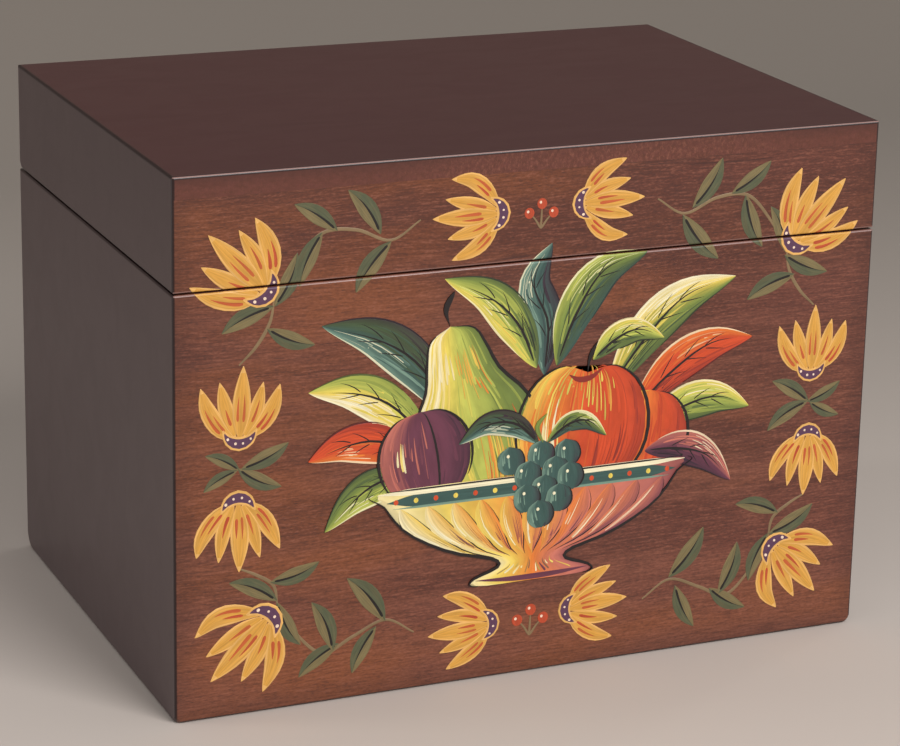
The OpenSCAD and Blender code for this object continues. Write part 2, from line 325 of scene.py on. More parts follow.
def board_grain():
    """Grain of a board whose vector runs along, across and through the grain."""
    def build(w, place):
        wave, sharpness, elsewhere = 8, 14, 37
        along, across, through = w.split(place)
        drift = w.cells((along, across, through), (120, 34, 34))
        wavy = w.plus(across, w.times(w.minus(drift, 0.5), wave))
        figure = w.cells((along, wavy, through), (75, 5, 5), 4, 0.6)
        strands = w.cells((along, wavy, through), (6, 0.55, 1), 3, 0.65)
        flecks = w.cells((along, wavy, through), (1, 0.42, 1), 2, 0.6)
        streaks = w.plus(w.times(strands, 0.6), w.times(flecks, 0.4))
        dashes = w.cells((along, wavy, through), (1.5, 0.19, 1), 1, 0.4)
        crowd = w.band(figure, 0.35, 0.62, 0.59, 0.68)
        pores = w.math("MULTIPLY", w.minus(dashes, crowd), sharpness, clamp=True)
        ridge = w.cells((along, wavy, through), (90, 2.6, 1), 1)
        rare = w.cells((along, wavy, w.plus(through, elsewhere)), (30, 4.5, 1), 1)
        lines = w.times(w.band(w.size(w.minus(ridge, 0.5)), 0.010, 0.002), w.band(rare, 0.56, 0.66))
        height = w.minus(w.times(streaks, 0.35), w.larger(pores, lines))
        return {"Figure": figure, "Streaks": streaks, "Pores": pores, "Lines": lines,
                "Height": height}
    return shared_effect("board_grain", ("Figure", "Streaks", "Pores", "Lines", "Height"), build)


def box_edges():
    """How far a point of the box's outside lies from its nearest edge, and from the seam, in mm."""
    def build(w, place):
        x, y, z = w.split(place)
        side = w.minus(HALF_WIDTH / MM, w.size(x))
        face = w.minus(HALF_DEPTH / MM, w.size(y))
        level = w.smaller(z, w.minus(TOP_Z / MM, z))
        nearest = w.larger(w.smaller(side, face), w.smaller(w.larger(side, face), level))
        seam = w.size(w.minus(z, (BODY_RIM + LID_EDGE) / 2 / MM))
        return {"Edge": nearest, "Seam": seam}
    return shared_effect("box_edges", ("Edge", "Seam"), build)


def inside_of_box():
    """1 inside the walls and under the top board, 0 outside."""
    def build(w, place):
        x, y, z = w.split(place)
        slack = 0.2
        across = w.math("LESS_THAN", w.size(x), (HALF_WIDTH - WALL) / MM + slack)
        deep = w.math("LESS_THAN", w.size(y), (HALF_DEPTH - WALL) / MM + slack)
        under = w.math("LESS_THAN", z, BOARD_Z / MM + slack)
        return {"Mask": w.times(w.times(across, deep), under)}
    return shared_effect("inside_of_box", ("Mask",), build)


def handling():
    """Faint smears on a varnished or polished surface, 0 to 1."""
    def build(w, place):
        smears = w.noise(w.scaled(place, (0.05, 0.09, 0.07)), 3, 0.6, 0.6)
        return {"Smears": w.band(smears, 0.35, 0.7)}
    return shared_effect("handling", ("Smears",), build)


def brush_marks():
    """Bristle marks and pools of paint: the vector runs along and across a stroke."""
    def build(w, place):
        return {"Bristles": w.noise(w.scaled(place, (0.10, 3.2, 1)), 3, 0.6),
                "Pools": w.noise(w.scaled(place, (0.35, 0.8, 1)))}
    return shared_effect("brush_marks", ("Bristles", "Pools"), build)


def new_material(name):
    """A material with an empty tree, its wiring and its shader."""
    material = bpy.data.materials.new(name)
    material.use_nodes = True
    tree = material.node_tree
    tree.nodes.clear()
    w = Wiring(tree)
    shader = w.node("ShaderNodeBsdfPrincipled")
    w.node("ShaderNodeOutputMaterial", {"Surface": shader.outputs["BSDF"]})
    return material, w, shader


def feed(w, shader, **inputs):
    """Links or sets the shader's inputs. An underscore in a name stands for a space."""
    for key, value in inputs.items():
        w.put(shader.inputs[key.replace("_", " ")], value)


def object_mm(w):
    """The point on the object in the row frame, in millimetres."""
    place = w.node("ShaderNodeTexCoord").outputs["Object"]
    return w.scaled(place, (1 / MM,) * 3)


def grain_at(w, point, along, offset=0.0):
    """The grain of an upright board along x or y, or of a flat one along x. An offset takes it from
    another part of the wood."""
    x, y, z = w.split(point)
    turned = w.join(*{"x": (x, z, y), "y": (y, z, x), "flat": (x, y, z)}[along])
    if offset:
        turned = w.vector("ADD", turned, (offset, offset / 3, 0))
    return w.effect(board_grain(), turned)


def bump(w, height, strength, depth):
    """The surface's tilt under a relief of the given depth in millimetres."""
    return w.node("ShaderNodeBump", {
        "Height": height, "Strength": strength, "Distance": depth * MM}).outputs["Normal"]


def inside_figure(w, wood, grain):
    """Colour of the thinly stained wood inside."""
    base = w.mix(w.band(grain["Figure"], 0.22, 0.78), wood.inside_dark, wood.inside_light)
    fibre = w.mix(w.band(grain["Streaks"], 0.38, 0.56, 0.40, 0.0), base, wood.front_light)
    return w.mix(w.times(grain["Pores"], 0.55), fibre, wood.pore)


def front_stain():
    """Red-brown stain over open grain, under satin varnish, on the front wall and rail."""
    wood = bpy.context.scene.card_box_wood
    material, w, shader = new_material("stained_front")
    point = object_mm(w)
    grain = grain_at(w, point, "x")
    edges = w.effect(box_edges(), point)
    inside = w.effect(inside_of_box(), point)["Mask"]
    rubbed = w.effect(handling(), point)
    x, _, z = w.split(point)

    patches = w.noise(w.scaled(point, (0.014, 0.014, 0.055)), 3, 0.55)
    rightward = w.band(x, -HALF_WIDTH / MM, HALF_WIDTH / MM, 0.10, -0.08)
    # Lighter toward the bottom of the front, and painted shade that darkens the front toward the top of
    # the lid.
    low = w.band(z, 34, 4, -0.02, 0.22)
    high = w.band(z, BODY_RIM / MM - 12, TOP_Z / MM - 14, 0.0, -0.22)
    spread = w.plus(patches, rightward)
    warm = w.band(w.plus(spread, w.times(low, 0.3)), 0.46, 0.74)
    cool = w.band(spread, 0.50, 0.28)
    figure_and_top_shade = w.plus(grain["Figure"], w.plus(low, high))
    figure = w.mix(w.band(figure_and_top_shade, 0.28, 0.72), wood.front_dark, wood.front_light)
    figure = w.mix(w.times(warm, 0.60), figure, wood.front_amber)
    figure = w.mix(w.times(cool, 0.45), figure, wood.front_violet)
    fibres = w.mix(w.band(grain["Streaks"], 0.36, 0.54, 0.50, 0.0), figure, wood.pore)
    lifted = w.mix(w.band(grain["Streaks"], 0.50, 0.64, 0.0, 0.48), fibres, wood.front_bare)
    pored = w.mix(w.times(grain["Pores"], 0.55), lifted, wood.pore)
    lined = w.mix(w.times(grain["Lines"], 0.6), pored, wood.pore)
    deepened = w.mix(w.band(edges["Edge"], 7.0, 0.6, 0.0, 0.32), lined, wood.pore)
    gathered = w.mix(w.band(edges["Edge"], 0.64, 0.36, 0.0, 0.92), deepened, wood.edge)
    # Painted highlight: the rims colour laid on the eased rims above and below the seam.
    rounding = w.times(w.band(edges["Seam"], 0.68, 0.52), w.band(edges["Seam"], 0.2, 0.3))
    toned = w.mix(w.times(rounding, 0.55), gathered, wood.rim)

    satin = w.plus(0.30, w.times(rubbed["Smears"], 0.10))
    feed(w, shader, Base_Color=w.mix(inside, toned, inside_figure(w, wood, grain)),
         Roughness=w.plus(satin, w.times(inside, 0.25)), Normal=bump(w, grain["Height"], 0.25, 0.05))
    return material


def dark_stain(name, along, tone, top_board=False):
    """Dark, nearly opaque stain under smooth satin varnish."""
    wood = bpy.context.scene.card_box_wood
    material, w, shader = new_material(name)
    point = object_mm(w)
    grain = grain_at(w, point, along, 210.0)
    edges = w.effect(box_edges(), point)
    inside = w.effect(inside_of_box(), point)["Mask"]
    rubbed = w.effect(handling(), point)
    if top_board:
        tone = w.mix(board_side(w, point), tone, wood.side)

    # tone is this face's lit or shaded copy of the stain, painted light for that face.
    figure = w.shaded(tone, w.plus(1.0, w.times(w.minus(grain["Figure"], 0.5), 0.16)))
    fibres = w.mix(w.band(grain["Streaks"], 0.35, 0.7, 0.10, 0.0), figure, wood.pore)
    pored = w.mix(w.times(grain["Pores"], 0.18), fibres, wood.pore)
    if top_board:
        pored = board_edge(w, wood, point, pored)
    # Darker along the edges, and painted shade in the seam between lid and body.
    gathered = w.larger(w.band(edges["Edge"], 0.80, 0.45, 0.0, 0.94),
                        w.band(edges["Seam"], 0.9, 0.5, 0.0, 0.6))
    toned = w.mix(gathered, pored, wood.edge)
    if top_board:
        # Painted highlight on the top board's front edge.
        toned = w.mix(front_edge_highlight(w, point), toned, wood.rim)

    satin = w.plus(0.32, w.times(rubbed["Smears"], 0.03))
    feed(w, shader, Base_Color=w.mix(inside, toned, inside_figure(w, wood, grain)),
         Roughness=w.plus(satin, w.times(inside, 0.22)), Normal=bump(w, grain["Height"], 0.10, 0.03))
    return material


def board_edge(w, wood, point, face_colour):
    """The front edge of the top board, where the stain took unevenly on the edge grain."""
    x, y, z = w.split(point)
    worn_middle, worn_half, worn_fade = 16, 26, 28
    mottle = w.noise(w.scaled(point, (0.5, 0.5, 0.9)), 4, 0.7)
    stained = w.mix(w.band(mottle, 0.30, 0.72), wood.front_dark, wood.front_violet)
    worn = w.band(w.size(w.minus(x, worn_middle)), worn_half + worn_fade, worn_half)
    flecks = w.noise(w.scaled(point, (1.3, 1.3, 0.8)), 5, 0.85)
    light = w.mix(w.band(flecks, 0.50, 0.66, 0.0, 0.35), stained, wood.front_light)
    bare = w.mix(w.times(w.band(flecks, 0.47, 0.68), w.times(worn, 0.55)), light, wood.front_bare)
    dark = w.mix(w.band(flecks, 0.46, 0.34, 0.0, 0.35), bare, wood.pore)
    gathered = w.times(w.band(z, BOARD_Z / MM + 1.0, TOP_Z / MM, 0.05, 0.5),
                       w.minus(1.0, w.times(worn, 0.6)))
    deep = w.mix(gathered, dark, wood.pore)
    on_front = w.math("LESS_THAN", y, (FRONT_Y + RIM_EASE * 0.5) / MM)
    return w.mix(on_front, face_colour, deep)


def board_side(w, point):
    """1 on the left, right and back edges of the top board, which match the rails below them."""
    x, y, _ = w.split(point)
    skin = 0.25
    return w.larger(w.math("GREATER_THAN", w.size(x), HALF_WIDTH / MM - skin),
                    w.math("GREATER_THAN", y, HALF_DEPTH / MM - skin))


def front_edge_highlight(w, point):
    """A painted highlight: a line along the rounding between the top and the front."""
    _, y, z = w.split(point)
    reach = 0.54 * RIM_EASE / MM
    back = w.band(y, FRONT_Y / MM + reach + 0.06, FRONT_Y / MM + reach - 0.10)
    above = w.band(z, TOP_Z / MM - reach - 0.06, TOP_Z / MM - reach + 0.10)
    return w.times(w.times(back, above), 0.8)


def plywood():
    """The bottom panel and the splines: bare, lightly stained veneer."""
    wood = bpy.context.scene.card_box_wood
    material, w, shader = new_material("bare_plywood")
    grain = grain_at(w, object_mm(w), "flat", 90.0)
    base = w.mix(w.band(grain["Figure"], 0.3, 0.7), wood.ply_dark, wood.ply_light)
    fibre = w.mix(w.band(grain["Streaks"], 0.3, 0.7, 0.35, 0.0), base, wood.inside_dark)
    feed(w, shader, Base_Color=w.mix(w.times(grain["Pores"], 0.5), fibre, wood.pore),
         Roughness=w.band(grain["Streaks"], 0.2, 0.8, 0.55, 0.7),
         Normal=bump(w, grain["Height"], 0.3, 0.05))
    return material


def brass():
    """Brushed brass that has dulled a little."""
    metal = bpy.context.scene.card_box_brass
    material, w, shader = new_material("aged_brass")
    point = object_mm(w)
    smears = w.effect(handling(), w.scaled(point, (4, 4, 4)))["Smears"]
    lines = w.noise(w.scaled(point, (0.5, 9, 9)), 3, 0.7)
    feed(w, shader, Base_Color=w.mix(w.times(smears, 0.7), metal.bright, metal.aged), Metallic=1.0,
         Roughness=w.plus(w.band(lines, 0.3, 0.7, 0.28, 0.40), w.times(smears, 0.1)),
         Normal=bump(w, lines, 0.05, 0.02))
    return material


def brushed_paint():
    """Acrylic paint that takes its colour from each stroke and shows the brush's bristles."""
    material, w, shader = new_material("acrylic_paint")
    tint = w.node("ShaderNodeAttribute", attribute_name=TINT).outputs["Color"]
    marks = w.effect(brush_marks(), w.node("ShaderNodeUVMap", uv_map=UV).outputs["UV"])
    bristles = marks["Bristles"]
    wood_below = srgb(110, 68, 54)
    streaked = w.shaded(tint, w.band(bristles, 0.25, 0.75, 0.80, 1.16))
    thinned = w.mix(w.band(marks["Pools"], 0.30, 0.12, 0.0, 0.35), streaked, wood_below)
    feed(w, shader, Base_Color=thinned, Roughness=w.band(bristles, 0.3, 0.7, 0.36, 0.48),
         Normal=bump(w, bristles, 0.35, 0.04))
    return material


def finish(name, build, *arguments):
    """The named material, built the first time that it is asked for."""
    return bpy.data.materials.get(name) or build(*arguments)


# Painted forms, drawn on the front face: x to the right, z up, in millimetres. On a form, t goes
# from 0 at its foot to 1 at its tip, and s from -1 to 1 across it.

def path_through(points):
    """A smooth path through points, as a function of t from 0 to 1."""
    marks = [Vector(p) for p in points]
    marks = [2 * marks[0] - marks[1], *marks, 2 * marks[-1] - marks[-2]]
    spans = len(marks) - 3

    def at(t):
        k = min(max(int(t * spans), 0), spans - 1)
        f = t * spans - k
        a, b, c, d = marks[k:k + 4]
        return 0.5 * (2 * b + (c - a) * f + (2 * a - 5 * b + 4 * c - d) * f ** 2
                      + (3 * b - a - 3 * c + d) * f ** 3)
    return at


def left_of(path, t):
    """The direction to the left of a path."""
    step = 0.01
    run = path(min(t + step, 1)) - path(max(t - step, 0))
    return Vector((-run.y, run.x)).normalized()


def leaf_width(widest, belly=0.45):
    """Half width of a leaf or petal, widest at the share belly of its length, pointed at both ends."""
    power = math.log(0.5) / math.log(belly)
    return lambda t: widest * math.sin(math.pi * min(max(t, 0), 1) ** power) ** 0.85


def comma_width(widest, lead=0.12):
    """Half width of a brush stroke that lands round and leaves pointed."""
    return lambda t: widest * min(1, math.sqrt(max(t, 0) / lead)) * (1 - max(t, 0) ** 2.2) ** 0.9


def band_width(widest, blunt):
    """Half width of a band, even but for its ends, each 1 / blunt of its length."""
    return lambda t: widest * min(1, blunt * t, blunt * (1 - t))


class LeafForm:
    """A form about a bent axis, such as a leaf, a petal or a brush stroke."""

    def __init__(self, axis, half_width):
        self.axis = axis if callable(axis) else path_through(axis)
        self.half_width = half_width

    def at(self, t, s):
        return self.axis(t) + left_of(self.axis, t) * (self.half_width(t) * -s)


class TurnedForm:
    """A form that is alike left and right of an upright axis, such as a fruit or a bowl."""

    def __init__(self, foot, outline, lean=0.0, size=1.0):
        self.foot = Vector(foot)
        self.outline = path_through(outline)
        self.turn = Matrix.Rotation(math.radians(-lean), 2) * size

    def at(self, t, s):
        half, height = self.outline(t)
        return self.foot + self.turn @ Vector((half * s, height))


class FormPatch:
    """A patch of a form, from one t to another, on both sides of a middle s."""

    def __init__(self, form, start, end, middle, half_width):
        self.form = form
        self.start = start
        self.length = end - start
        self.middle = middle
        self.half_width = half_width

    def at(self, t, s):
        return self.form.at(self.start + self.length * t, self.middle + s * self.half_width(t))


def mixed(a, b, share):
    """A colour between two."""
    share = min(max(share, 0), 1)
    return tuple(p + (q - p) * share for p, q in zip(a, b))


def ramp(colours, share):
    """A colour along a row of colours."""
    share = min(max(share, 0), 1) * (len(colours) - 1)
    k = min(int(share), len(colours) - 2)
    return mixed(colours[k], colours[k + 1], share - k)


def drifting(value, drift):
    """A value that drifts evenly while t goes from 0 to 1."""
    return lambda t: value + drift * t


class Painting:
    """Brush strokes gathered into one mesh. Each is a closed skin of paint that starts just under the
    wood's surface. The first lies the given number of coats higher than one coat, and each after it a
    step of so many millimetres above the last."""

    def __init__(self, seed, lift, step):
        paint = bpy.context.scene.card_box_paint
        self.mesh = bmesh.new()
        self.tint = self.mesh.verts.layers.float_color.new(TINT)
        self.uv = self.mesh.loops.layers.uv.new(UV)
        self.hand = random.Random(seed)
        coat = paint.coat / MM
        self.sink = coat / 2
        self.top = coat * (1 + lift)
        self.step = step

    def shape(self, at, tint, along=18, across=6, width=lambda t: 1.0):
        """A closed shape. at gives the point for t along it and s from -1 to 1 across it.
        tint is a colour, or gives one for t and s."""
        colour = tint if callable(tint) else lambda t, s: tint
        self.top += self.step
        shift = self.hand.uniform(0, 90)
        shares = [STROKE_RIM * (2 * j / (across - 2) - 1) for j in range(across - 1)]
        shares = [-1, *shares, 1]
        rows = []
        run = 0.0
        last = None
        for i in range(along + 1):
            t = (1 - math.cos(math.pi * i / along)) / 2
            middle = at(t, 0)
            run += (middle - last).length if last is not None else 0.0
            last = middle
            row = []
            for s in [0] if i in (0, along) else shares:
                place = at(t, s)
                rim = i in (0, along) or abs(s) == 1
                vert = self.mesh.verts.new((place.x, self.sink if rim else -self.top, place.y))
                vert[self.tint] = (*colour(t, s), 1)
                row.append((vert, (run + shift, s * width(t) + shift)))
            rows.append(row)
        for near, far in zip(rows, rows[1:]):
            self._skin(near, far, across)

    def _skin(self, near, far, across):
        """Faces between two rows of a shape, over its front and flat behind it."""
        for j in range(across):
            self._face([near[min(j, len(near) - 1)], near[min(j + 1, len(near) - 1)],
                        far[min(j + 1, len(far) - 1)], far[min(j, len(far) - 1)]])
        self._face([near[0], far[0], far[-1], near[-1]])

    def _face(self, corners):
        unique = []
        for corner in corners:
            if all(corner[0] is not kept[0] for kept in unique):
                unique.append(corner)
        if len(unique) < 3:
            return
        face = self.mesh.faces.new([vert for vert, _ in unique])
        for loop, (_, place) in zip(face.loops, unique):
            loop[self.uv].uv = place

    def stroke(self, path, half_width, tint, along=12, across=4):
        """A brush stroke along a path or through points."""
        self.shape(LeafForm(path, half_width).at, tint, along, across, width=half_width)

    def along_form(self, form, s, start, end, half_width, tint, along=10):
        """A brush stroke on a form: s gives its place across the form for its own t."""
        self.stroke(lambda t: form.at(start + (end - start) * t, s(t)), half_width, tint, along)

    def dry_brush(self, form, across, start, end, tints, hairs, ragged=0.25, hair=0.16):
        """A patch of fine, ragged hair lines, as an almost dry brush leaves them."""
        low, high = across
        reach = (end - start) * ragged
        for k in range(hairs):
            s = low + (high - low) * (k + self.hand.random()) / hairs
            first = start + self.hand.uniform(0, reach)
            last = end - self.hand.uniform(0, reach)
            self.along_form(form, drifting(s, self.hand.uniform(-0.03, 0.03)), first, last,
                            comma_width(hair * self.hand.uniform(0.6, 1.5)),
                            ramp(tints, self.hand.random()), along=7)

    def rim_line(self, form, side, start, end, thick, tint, along=20):
        """A line along part of a form's rim. side is -1 or 1, or less for a line inside the form."""
        self.along_form(form, lambda t: side, start, end, leaf_width(thick), tint, along)

    def dot(self, centre, radius, tint):
        """A round touch of the brush."""
        middle = Vector(centre)

        def at(t, s):
            angle = math.pi * t
            return middle + Vector((radius * s * math.sin(angle), -radius * math.cos(angle)))
        self.shape(at, tint, along=8, across=4, width=lambda t: radius)

    def to_mesh(self, name):
        """The strokes as a mesh, in metres, with their faces outward."""
        bmesh.ops.recalc_face_normals(self.mesh, faces=self.mesh.faces)
        bmesh.ops.scale(self.mesh, vec=(MM, MM, MM), verts=self.mesh.verts)
        made = bpy.data.meshes.new(name)
        self.mesh.to_mesh(made)
        self.mesh.free()
        return made


# Laying painted meshes on the box

# Shares of a rim's rounding at which a painted mesh is cut, so that it can follow the rounding. The
# first is where the paint ends at the seam.
RIM_CUTS = (0.12, 0.3, 0.5, 0.75, 1.0)


def rim_drop(z):
    """How far the eased rims at the seam fall back behind the front face at a height."""
    into = 0.0
    if BODY_RIM - RIM_EASE < z <= BODY_RIM:
        into = z - (BODY_RIM - RIM_EASE)
    if LID_EDGE <= z < LID_EDGE + RIM_EASE:
        into = LID_EDGE + RIM_EASE - z
    return RIM_EASE - math.sqrt(max(RIM_EASE ** 2 - into ** 2, 0))


def cut_level(mesh, z, keep=None):
    """Cuts a mesh at a height. keep is above or below to drop the other side, and close the cut."""
    everything = [*mesh.verts, *mesh.edges, *mesh.faces]
    cut = bmesh.ops.bisect_plane(
        mesh, geom=everything, plane_co=(0, 0, z), plane_no=(0, 0, 1),
        clear_outer=keep == "below", clear_inner=keep == "above")
    if keep:
        edges = [e for e in cut["geom_cut"] if isinstance(e, bmesh.types.BMEdge) and e.is_boundary]
        bmesh.ops.holes_fill(mesh, edges=edges, sides=0)


def lay_on_front(source, name):
    """Splits a painted mesh at the seam, wraps it over the eased rims and gives each part its body."""
    end, *cuts = [RIM_EASE * share for share in RIM_CUTS]
    sides = (("body", "below", BODY_RIM - end, [BODY_RIM - cut for cut in cuts]),
             ("lid", "above", LID_EDGE + end, [LID_EDGE + cut for cut in cuts]))
    heights = [v.co.z for v in source.vertices]
    for body, keep, limit, levels in sides:
        if min(heights) >= limit if keep == "below" else max(heights) <= limit:
            continue
        mesh = bmesh.new()
        mesh.from_mesh(source)
        cut_level(mesh, limit, keep)
        for level in levels:
            cut_level(mesh, level)
        for vert in mesh.verts:
            vert.co.y += FRONT_Y + rim_drop(vert.co.z)
        bmesh.ops.dissolve_degenerate(mesh, dist=1e-7, edges=mesh.edges)
        made = bpy.data.meshes.new(f"{name}_{body}")
        mesh.to_mesh(made)
        mesh.free()
        made.materials.append(finish("acrylic_paint", brushed_paint))
        piece = bpy.data.objects.new(f"{name}_{body}", made)
        bpy.context.scene.collection.objects.link(piece)
        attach(piece, body)


# Geometry Nodes

def geometry_tree(name, inputs, build):
    """A Geometry Nodes tree that changes a geometry by the named inputs, turns it into real faces and
    gives them their paint. build makes the steps from the inputs and returns the geometry."""
    def whole(w, entry):
        real = w.node("GeometryNodeRealizeInstances", {"Geometry": build(w, entry)})
        done = w.node("GeometryNodeSetMaterial", {
            "Geometry": real.outputs["Geometry"], "Material": entry["Paint"]})
        return {"Geometry": done.outputs["Geometry"]}
    geometry = {"Geometry": "Geometry"}
    return shared_tree(name, "GeometryNodeTree", {**geometry, **inputs, "Paint": "Material"},
                       geometry, whole)


def run_tree(mesh, tree, inputs):
    """Runs a tree on a mesh and returns the plain, painted mesh that comes out."""
    carrier = bpy.data.objects.new("carrier", mesh)
    bpy.context.scene.collection.objects.link(carrier)
    modifier = carrier.modifiers.new("nodes", "NODES")
    modifier.node_group = tree
    sockets = {s.name: s.identifier for s in tree.interface.items_tree if s.in_out == "INPUT"}
    for label, value in {**inputs, "Paint": finish("acrylic_paint", brushed_paint)}.items():
        modifier[sockets[label]] = value
    bpy.context.view_layer.update()
    made = bpy.data.meshes.new_from_object(
        carrier.evaluated_get(bpy.context.evaluated_depsgraph_get()))
    carrier.modifiers.remove(modifier)
    bpy.data.objects.remove(carrier)
    return made


def motif_scatter():
    """Sets a motif on every point, turned and sized by the point's own values."""
    def build(w, entry):
        def own(name):
            return w.node("GeometryNodeInputNamedAttribute", {"Name": name}).outputs["Attribute"]
        placed = w.node("GeometryNodeInstanceOnPoints", {
            "Points": entry["Geometry"],
            "Instance": w.node("GeometryNodeObjectInfo", {"Object": entry["Motif"]}).outputs["Geometry"],
            "Rotation": w.join(0.0, own("turn"), 0.0), "Scale": w.times(own("size"), entry["Size"])})
        return placed.outputs["Instances"]
    return geometry_tree("motif_scatter", {"Motif": "Object", "Size": "Float"}, build)


def stalk_sweep():
    """Sweeps a flattened round section along each stalk, thin at its ends."""
    def build(w, entry):
        def stored(geometry, name, value, kind, domain):
            return w.node(
                "GeometryNodeStoreNamedAttribute", {"Geometry": geometry, "Name": name, "Value": value},
                data_type=kind, domain=domain).outputs["Geometry"]
        curve = w.node("GeometryNodeMeshToCurve", {"Mesh": entry["Geometry"]}).outputs["Curve"]
        spline = w.node("GeometryNodeSplineParameter").outputs
        swell = w.math("SINE", w.times(spline["Factor"], math.pi))
        radius = w.times(w.plus(0.45, w.times(swell, 0.55)), w.times(entry["Width"], 0.5))
        shaped = w.node("GeometryNodeSetCurveRadius", {"Curve": curve, "Radius": radius})
        section = w.node("GeometryNodeCurvePrimitiveCircle", {"Resolution": 10, "Radius": 1.0})
        kept = w.node("GeometryNodeCaptureAttribute", {"Geometry": shaped.outputs["Curve"]})
        kept.capture_items.new("FLOAT", "Run")
        w.put(kept.inputs["Run"], spline["Length"])
        swept = w.node("GeometryNodeCurveToMesh", {
            "Curve": kept.outputs["Geometry"], "Profile Curve": section.outputs["Curve"],
            "Scale": w.node("GeometryNodeInputRadius").outputs["Radius"], "Fill Caps": True})
        place = w.node("GeometryNodeInputPosition").outputs["Position"]
        flat = w.node("GeometryNodeSetPosition", {
            "Geometry": swept.outputs["Mesh"],
            "Position": w.scaled(place, w.join(1.0, entry["Flatness"], 1.0))})
        tinted = stored(flat.outputs["Geometry"], TINT, entry["Tint"], "FLOAT_COLOR", "POINT")
        along = w.math("DIVIDE", kept.outputs["Run"], MM)
        across = w.math("DIVIDE", w.split(place)["Z"], 40 * MM)
        return stored(tinted, UV, w.join(along, across, 0.0), "FLOAT2", "CORNER")
    return geometry_tree(
        "stalk_sweep", {"Width": "Float", "Flatness": "Float", "Tint": "Color"}, build)


def point_cloud(marks):
    """A mesh of loose points, each with its turn in radians and its size."""
    made = bpy.data.meshes.new("marks")
    made.from_pydata([(x * MM, 0, z * MM) for x, z, _, _ in marks], [], [])
    turns = made.attributes.new("turn", "FLOAT", "POINT")
    sizes = made.attributes.new("size", "FLOAT", "POINT")
    turns.data.foreach_set("value", [math.radians(turn) for _, _, turn, _ in marks])
    sizes.data.foreach_set("value", [size for _, _, _, size in marks])
    return made


def scatter(marks, painting, size, name):
    """Lays copies of a small painting on the front, at marks of x, z, turn and size."""
    motif = bpy.data.objects.new("motif", painting.to_mesh("motif"))
    made = run_tree(point_cloud(marks), motif_scatter(), {"Motif": motif, "Size": size})
    bpy.data.objects.remove(motif)
    lay_on_front(made, name)


# Layout of the border, in millimetres on the front face

# Lilies of the right half: foot x, foot z, turn clockwise from upright, size
LILIES = [
    (62, 25, 135, 1.0),
    (63, 96, 45, 1.0),
    (8, 14, 90, 0.86),
    (8, 111, 90, 0.86),
    (71, 63, 0, 0.86),
    (71, 53, 180, 0.86),
]
# Stalks of the right half
STALKS = [
    [(29, 14), (36, 18), (44, 15), (51, 12), (57, 17), (62, 25)],
    [(29, 111), (36, 107), (44, 110), (52, 110), (58, 104), (63, 96)],
    [(62, 25), (63, 30), (67, 33), (71, 35)],
    [(63, 96), (64, 91), (67, 86), (71, 82)],
]
# Leaves of the right half: foot x, foot z, turn, size
LEAVES = [
    (36, 18, 40, 0.95), (38, 16.5, 150, 0.85), (49, 12.5, 20, 0.9), (47, 14, 125, 0.8),
    (36, 107, 140, 0.95), (38, 108.5, 35, 0.85), (52, 110, 160, 0.9), (48, 110.5, 55, 0.8),
    (64, 31, -70, 0.85), (65, 90, -110, 0.85),
    (71, 58, -62, 0.8), (71, 58, -118, 0.8), (71, 58, 62, 0.62), (71, 58, 118, 0.62),
    (62, 26, 65, 0.85), (62, 26, 205, 0.85), (63, 95, 115, 0.85), (63, 95, -25, 0.85),
]
# Berry sprigs: x, z, turn, size
SPRIGS = [
    (0, 9, 0, 1.0), (0, 106.5, 0, 0.9),
]


def both_halves(marks, hand):
    """The marks and their mirror image, each a little off as a hand would set them."""
    wobble, swing = 0.5, 4
    spread = []
    for side in (1, -1):
        for x, z, turn, size in marks:
            spread.append((side * x + hand.uniform(-wobble, wobble), z + hand.uniform(-wobble, wobble),
                           side * turn + hand.uniform(-swing, swing), size * hand.uniform(0.95, 1.05)))
    return spread


def petal(work, axis, widest, paint, touches):
    """A gold petal with a lighter rim and short red touches."""
    rim = LeafForm(axis, leaf_width(widest, 0.52))
    core = LeafForm(axis, leaf_width(widest - 0.42, 0.5))
    gold, edge = tuple(paint.gold), tuple(paint.gold_edge)
    work.shape(rim.at, edge, along=14)
    work.shape(lambda t, s: core.at(0.05 + 0.88 * t, s),
               lambda t, s: mixed(gold, edge, 0.3 * abs(s) + work.hand.uniform(-0.12, 0.12)), along=14)
    for k in range(touches):
        s = (k - (touches - 1) / 2) * 0.72 * work.hand.uniform(0.85, 1.1)
        start = 0.24 + work.hand.uniform(0, 0.1)
        end = start + work.hand.uniform(0.3, 0.44)
        work.along_form(rim, drifting(s, -0.25 * s + work.hand.uniform(-0.1, 0.1)), start, end,
                        comma_width(work.hand.uniform(0.36, 0.5)),
                        mixed(paint.red, paint.gold, work.hand.uniform(0, 0.2)), along=8)


def lily(paint, seed):
    """An open golden lily, its foot at the origin and its tip up, LILY_DRAWN tall."""
    work = Painting(seed, lift=2, step=0.003)

    def near(x, z):
        return x + work.hand.uniform(-0.5, 0.5), z + work.hand.uniform(-0.5, 0.5)
    for side in (-1, 1):
        petal(work, [(side * 1.0, 3), near(side * 3.4, 9.5), near(side * 5.4, 17.6)], 2.05, paint, 1)
    for side in (-1, 1):
        petal(work, [(side * 1.0, 2.4), near(side * 5.6, 5.6), near(side * 9.0, 10.5),
                     near(side * 10.6, 16.4)], 2.35, paint, 2)
    petal(work, [(0, 2.2), near(0, 11), near(0, 21.6)], 2.5, paint, 2)
    cup = path_through([(-4.6, 5.4), (-2.8, 2.6), (0, 1.5), (2.8, 2.6), (4.6, 5.4)])
    work.stroke(cup, leaf_width(1.95, 0.5), tuple(paint.gold_edge))
    work.stroke(lambda t: cup(0.07 + 0.86 * t), leaf_width(1.35, 0.5), tuple(paint.plum))
    for share in (0.22, 0.41, 0.59, 0.78):
        work.dot(cup(share + work.hand.uniform(-0.02, 0.02)), work.hand.uniform(0.3, 0.42), paint.pale)
    return work


